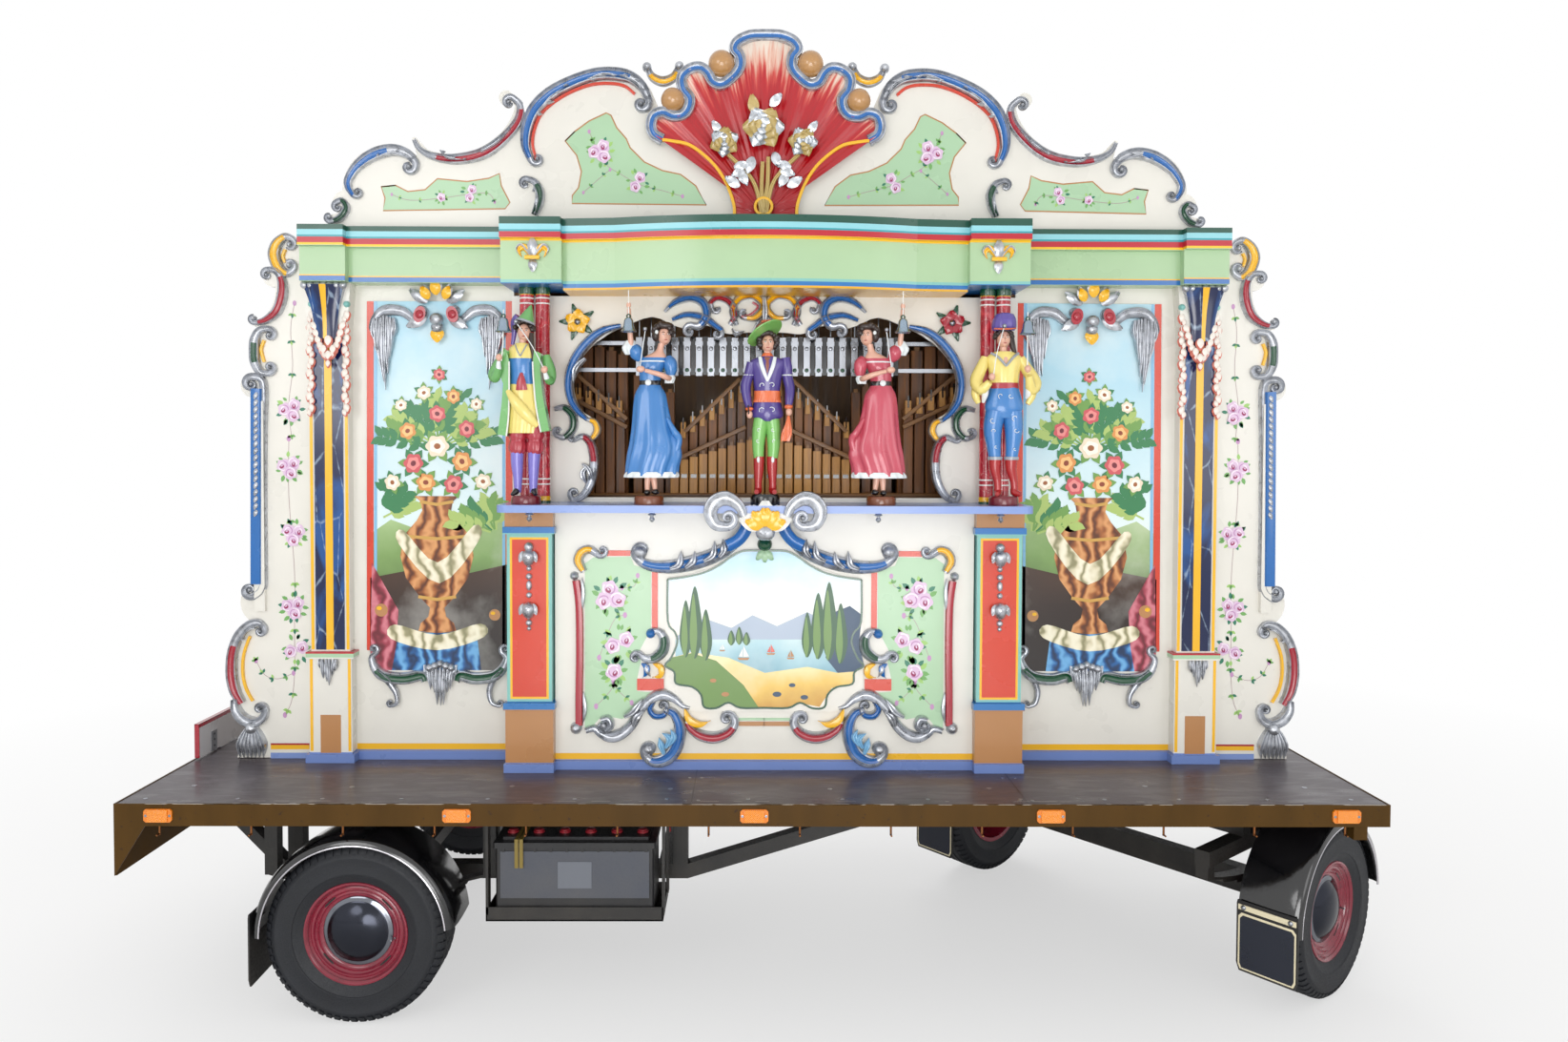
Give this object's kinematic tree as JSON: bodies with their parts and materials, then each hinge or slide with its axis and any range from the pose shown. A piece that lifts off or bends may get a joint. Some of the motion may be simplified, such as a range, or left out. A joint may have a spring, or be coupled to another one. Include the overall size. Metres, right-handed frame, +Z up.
{
  "type": "street organ on trailer",
  "caption": "Fairground street organ with painted carved front, moving bell figures and crank flywheel, on a four-wheeled flatbed trailer with turntable steering.",
  "frame": {"origin": "on the ground, under the middle of the whole object's box", "axes": "+X to the right along the organ's front and the trailer's length, +Y from the front to the back, +Z up"},
  "size_m": [5.442, 2.1023, 3.801],
  "materials": {
    "deck_board": "film-faced dark brown plywood, slightly glossy",
    "olive_paint": "olive brown gloss paint",
    "chassis_black": "black chassis paint",
    "gloss_black": "glossy black-blue enamel",
    "reflector": "orange reflector plastic",
    "hook_metal": "dull coppery steel",
    "battery_case": "dark grey plastic",
    "tyre": "black rubber",
    "rim_crimson": "crimson gloss enamel",
    "cream_paint": "cream oil paint on wood, satin",
    "plinth_blue": "lilac blue paint",
    "pilaster_blue": "blue marbled paint, varnished",
    "pedestal_red": "red orange panel paint",
    "column_red": "red marbled paint, varnished",
    "frieze_green": "light green paint with coloured mouldings",
    "shelf_lilac": "lilac paint",
    "carving_silver": "carved wood, silver leaf and coloured glaze",
    "picture": "painted panel",
    "case_wood": "varnished softwood",
    "case_side": "cream paint on boards",
    "pipe_wood": "varnished pine",
    "bar_metal": "bare bars",
    "iron": "dark painted iron",
    "book_card": "shellacked card",
    "flywheel_red": "red painted casting",
    "grip_wood": "turned beech, worn",
    "figure_paint": "carved wood, gloss oil colours",
    "bell_metal": "polished bell metal",
    "board_white": "white paint, red edge"
  },
  "bodies": {
    "wagon": {"deck_boards": "deck_board", "deck_rim": "olive_paint", "reflectors": "reflector", "rope_hooks": "hook_metal", "chassis_frame": "chassis_black", "rear_axle": "chassis_black", "rear_mudguards": "gloss_black", "battery": "battery_case", "case_frame": "case_wood", "case_walls": "case_side", "plinth": "plinth_blue", "front_panels": "cream_paint", "upper_panel": "cream_paint", "outer_pilasters": "pilaster_blue", "centre_pedestals": "pedestal_red", "red_columns": "column_red", "entablature": "frieze_green", "stage_shelf": "shelf_lilac", "crest_boards": "cream_paint", "crest_carvings": "carving_silver", "facade_carvings": "carving_silver", "pictures": "picture", "wind_chest": "case_wood", "wood_pipes": "pipe_wood", "metallophone": "bar_metal", "bellows": "case_wood", "keyframe": "iron", "music_book": "book_card", "man_left": "figure_paint", "lady_left": "figure_paint", "conductor": "figure_paint", "lady_right": "figure_paint", "man_right": "figure_paint", "bells": "bell_metal"},
    "bogie": {"bogie_frame": "chassis_black", "front_axle": "chassis_black", "front_mudguards": "gloss_black"},
    "drawbar": {"drawbar": "chassis_black"},
    "wing_left": {"wing_left": "cream_paint"},
    "wing_right": {"wing_right": "cream_paint"},
    "end_board": {"end_board": "board_white"},
    "back_door_left": {"back_door_left": "case_side"},
    "back_door_right": {"back_door_right": "case_side"},
    "flywheel": {"flywheel": "flywheel_red"},
    "crank_handle": {"crank_handle": "grip_wood"},
    "feed_roller": {"feed_roller": "iron"},
    "wheel_rear_near": {"tyre_rear_near": "tyre", "rim_rear_near": "rim_crimson"},
    "wheel_rear_far": {"tyre_rear_far": "tyre", "rim_rear_far": "rim_crimson"},
    "wheel_front_near": {"tyre_front_near": "tyre", "rim_front_near": "rim_crimson"},
    "wheel_front_far": {"tyre_front_far": "tyre", "rim_front_far": "rim_crimson"},
    "arm_man_left": {"arm_man_left": "figure_paint"},
    "arm_lady_left": {"arm_lady_left": "figure_paint"},
    "arm_conductor": {"arm_conductor": "figure_paint"},
    "arm_lady_right": {"arm_lady_right": "figure_paint"},
    "arm_man_right": {"arm_man_right": "figure_paint"}
  },
  "joints": [
    {"name": "bogie_steer", "type": "hinge", "parent": "wagon", "child": "bogie", "pos_m": [1.32502, -0.08793, 0.685], "axis": [0, 0, 1], "range_deg": [-84, 6]},
    {"name": "drawbar_lift", "type": "hinge", "parent": "bogie", "child": "drawbar", "pos_m": [1.7136, 0.22673, 0.4], "axis": [0.6293, -0.7771, 0], "range_deg": [0, 38]},
    {"name": "wheel_rear_near_roll", "type": "hinge", "parent": "wagon", "child": "wheel_rear_near", "pos_m": [-1.84597, -0.90393, 0.3325], "axis": [0, 1, 0], "continuous": true},
    {"name": "wheel_rear_far_roll", "type": "hinge", "parent": "wagon", "child": "wheel_rear_far", "pos_m": [-1.84597, 0.72807, 0.3325], "axis": [0, 1, 0], "continuous": true},
    {"name": "wheel_front_near_roll", "type": "hinge", "parent": "bogie", "child": "wheel_front_near", "pos_m": [1.83855, -0.72208, 0.3325], "axis": [-0.6293, 0.7771, 0], "continuous": true},
    {"name": "wheel_front_far_roll", "type": "hinge", "parent": "bogie", "child": "wheel_front_far", "pos_m": [0.8115, 0.54622, 0.3325], "axis": [-0.6293, 0.7771, 0], "continuous": true},
    {"name": "wing_left_fold", "type": "hinge", "parent": "wagon", "child": "wing_left", "pos_m": [-2.19398, -0.40793, 1.1], "axis": [0, 0, -1], "range_deg": [0, 90]},
    {"name": "back_door_left_open", "type": "hinge", "parent": "wagon", "child": "back_door_left", "pos_m": [-2.18998, 0.57407, 1.1], "axis": [0, 0, 1], "range_deg": [0, 100]},
    {"name": "wing_right_fold", "type": "hinge", "parent": "wagon", "child": "wing_right", "pos_m": [1.53002, -0.40793, 1.1], "axis": [0, 0, 1], "range_deg": [0, 90]},
    {"name": "back_door_right_open", "type": "hinge", "parent": "wagon", "child": "back_door_right", "pos_m": [1.52602, 0.57407, 1.1], "axis": [0, 0, -1], "range_deg": [0, 100]},
    {"name": "end_board_fold", "type": "hinge", "parent": "wagon", "child": "end_board", "pos_m": [-2.71298, 0.17207, 0.838], "axis": [0, -1, 0], "range_deg": [0, 90]},
    {"name": "flywheel_turn", "type": "hinge", "parent": "wagon", "child": "flywheel", "pos_m": [-0.33198, 0.61207, 1.52], "axis": [0, 1, 0], "continuous": true},
    {"name": "crank_grip_spin", "type": "hinge", "parent": "flywheel", "child": "crank_handle", "pos_m": [-0.07217, 0.69207, 1.67], "axis": [0, 1, 0], "continuous": true},
    {"name": "feed_roller_turn", "type": "hinge", "parent": "wagon", "child": "feed_roller", "pos_m": [0.84803, 0.28207, 1.66], "axis": [0, 1, 0], "continuous": true},
    {"name": "man_left_arm_swing", "type": "hinge", "parent": "wagon", "child": "arm_man_left", "pos_m": [-1.19198, -0.68793, 2.498], "axis": [-1, 0, 0], "range_deg": [-8, 25]},
    {"name": "lady_left_arm_swing", "type": "hinge", "parent": "wagon", "child": "arm_lady_left", "pos_m": [-0.70898, -0.68793, 2.498], "axis": [-1, 0, 0], "range_deg": [-8, 25]},
    {"name": "conductor_arm_swing", "type": "hinge", "parent": "wagon", "child": "arm_conductor", "pos_m": [-0.25198, -0.68793, 2.498], "axis": [-1, 0, 0], "range_deg": [-8, 25]},
    {"name": "lady_right_arm_swing", "type": "hinge", "parent": "wagon", "child": "arm_lady_right", "pos_m": [0.04503, -0.68793, 2.498], "axis": [-1, 0, 0], "range_deg": [-8, 25]},
    {"name": "man_right_arm_swing", "type": "hinge", "parent": "wagon", "child": "arm_man_right", "pos_m": [0.52802, -0.68793, 2.498], "axis": [-1, 0, 0], "range_deg": [-8, 25]}
  ],
  "couplings": [
    {"joint": "feed_roller_turn", "follows": "flywheel_turn", "ratio": 0.125}
  ]
}
